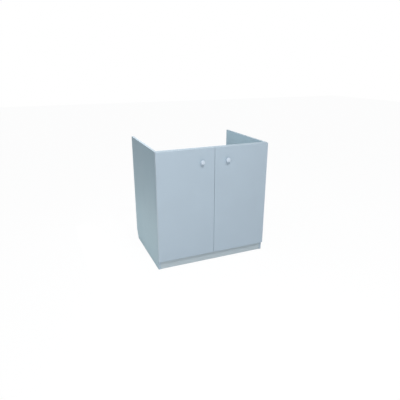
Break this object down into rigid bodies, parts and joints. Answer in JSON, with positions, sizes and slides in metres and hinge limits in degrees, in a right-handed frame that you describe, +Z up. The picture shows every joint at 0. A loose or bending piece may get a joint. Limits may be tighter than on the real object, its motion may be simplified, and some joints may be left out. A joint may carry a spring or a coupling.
{
  "type": "sink base cabinet",
  "caption": "Freestanding kitchen base cabinet for a sink, with an open top and back, a plinth, full-width overlay doors on concealed cup hinges and small round knobs.",
  "frame": {"origin": "on the floor, under the middle of the whole cabinet's bounding box, knobs included", "axes": "+Z up, -Y towards the user who opens the doors, +X to that user's right"},
  "size_m": [0.8, 0.62, 0.81],
  "materials": {
    "carcass_board": "chipboard with a pale blue-grey melamine coating, satin",
    "door_board": "chipboard with a pale blue-grey melamine coating and edge banding, satin",
    "knob_plastic": "pale blue-grey moulded plastic, semi-gloss",
    "nickel_steel": "nickel-plated pressed steel",
    "zinc": "die-cast zinc, dull"
  },
  "bodies": {
    "carcass": {"side_panel_left": "carcass_board", "side_panel_right": "carcass_board", "bottom_panel": "carcass_board", "plinth_board": "carcass_board", "front_rail": "carcass_board", "rear_rail": "carcass_board", "cam_bottom_front_left": "zinc", "cam_bottom_rear_left": "zinc", "cam_front_rail_left": "zinc", "cam_rear_rail_left": "zinc", "cam_bottom_front_right": "zinc", "cam_bottom_rear_right": "zinc", "cam_front_rail_right": "zinc", "cam_rear_rail_right": "zinc", "cam_bolt_bottom_front_left": "nickel_steel", "cam_bolt_bottom_rear_left": "nickel_steel", "cam_bolt_front_rail_left": "nickel_steel", "cam_bolt_rear_rail_left": "nickel_steel", "cam_bolt_bottom_front_right": "nickel_steel", "cam_bolt_bottom_rear_right": "nickel_steel", "cam_bolt_front_rail_right": "nickel_steel", "cam_bolt_rear_rail_right": "nickel_steel", "hinge_left_lower_arm": "nickel_steel", "hinge_left_lower_arm_pin_rear": "nickel_steel", "hinge_left_lower_arm_pin_front": "nickel_steel", "hinge_left_lower_plate": "zinc", "hinge_left_upper_arm": "nickel_steel", "hinge_left_upper_arm_pin_rear": "nickel_steel", "hinge_left_upper_arm_pin_front": "nickel_steel", "hinge_left_upper_plate": "zinc", "hinge_right_lower_arm": "nickel_steel", "hinge_right_lower_arm_pin_rear": "nickel_steel", "hinge_right_lower_arm_pin_front": "nickel_steel", "hinge_right_lower_plate": "zinc", "hinge_right_upper_arm": "nickel_steel", "hinge_right_upper_arm_pin_rear": "nickel_steel", "hinge_right_upper_arm_pin_front": "nickel_steel", "hinge_right_upper_plate": "zinc"},
    "inner_links_left": {"hinge_left_lower_inner_link": "nickel_steel", "hinge_left_upper_inner_link": "nickel_steel"},
    "door_left": {"door_left": "door_board", "knob_left": "knob_plastic", "knob_screw_left": "nickel_steel", "hinge_left_lower_cup": "nickel_steel", "hinge_left_lower_cup_pins": "nickel_steel", "hinge_left_upper_cup": "nickel_steel", "hinge_left_upper_cup_pins": "nickel_steel"},
    "outer_links_left": {"hinge_left_lower_outer_link": "nickel_steel", "hinge_left_upper_outer_link": "nickel_steel"},
    "inner_links_right": {"hinge_right_lower_inner_link": "nickel_steel", "hinge_right_upper_inner_link": "nickel_steel"},
    "door_right": {"door_right": "door_board", "knob_right": "knob_plastic", "knob_screw_right": "nickel_steel", "hinge_right_lower_cup": "nickel_steel", "hinge_right_lower_cup_pins": "nickel_steel", "hinge_right_upper_cup": "nickel_steel", "hinge_right_upper_cup_pins": "nickel_steel"},
    "outer_links_right": {"hinge_right_lower_outer_link": "nickel_steel", "hinge_right_upper_outer_link": "nickel_steel"}
  },
  "joints": [
    {"name": "left_inner_link_turn", "type": "hinge", "parent": "carcass", "child": "inner_links_left", "pos_m": [-0.366, -0.26575, 0.435], "axis": [0, 0, -1], "range_deg": [-10.3, 0]},
    {"name": "left_door_turn", "type": "hinge", "parent": "inner_links_left", "child": "door_left", "pos_m": [-0.39085, -0.27795, 0.435], "axis": [0, 0, -1], "range_deg": [0, 110.2]},
    {"name": "left_outer_link_turn", "type": "hinge", "parent": "door_left", "child": "outer_links_left", "pos_m": [-0.39105, -0.273, 0.435], "axis": [0, 0, -1], "range_deg": [-124.8, 0]},
    {"name": "right_inner_link_turn", "type": "hinge", "parent": "carcass", "child": "inner_links_right", "pos_m": [0.366, -0.26575, 0.435], "axis": [0, 0, 1], "range_deg": [-10.3, 0]},
    {"name": "right_door_turn", "type": "hinge", "parent": "inner_links_right", "child": "door_right", "pos_m": [0.39085, -0.27795, 0.435], "axis": [0, 0, 1], "range_deg": [0, 110.2]},
    {"name": "right_outer_link_turn", "type": "hinge", "parent": "door_right", "child": "outer_links_right", "pos_m": [0.39105, -0.273, 0.435], "axis": [0, 0, 1], "range_deg": [-124.8, 0]}
  ],
  "couplings": [
    {"joint": "left_inner_link_turn", "follows": "left_door_turn", "ratio": -0.092559},
    {"joint": "left_outer_link_turn", "follows": "left_door_turn", "ratio": -1.1313},
    {"joint": "right_inner_link_turn", "follows": "right_door_turn", "ratio": -0.092559},
    {"joint": "right_outer_link_turn", "follows": "right_door_turn", "ratio": -1.1313}
  ]
}
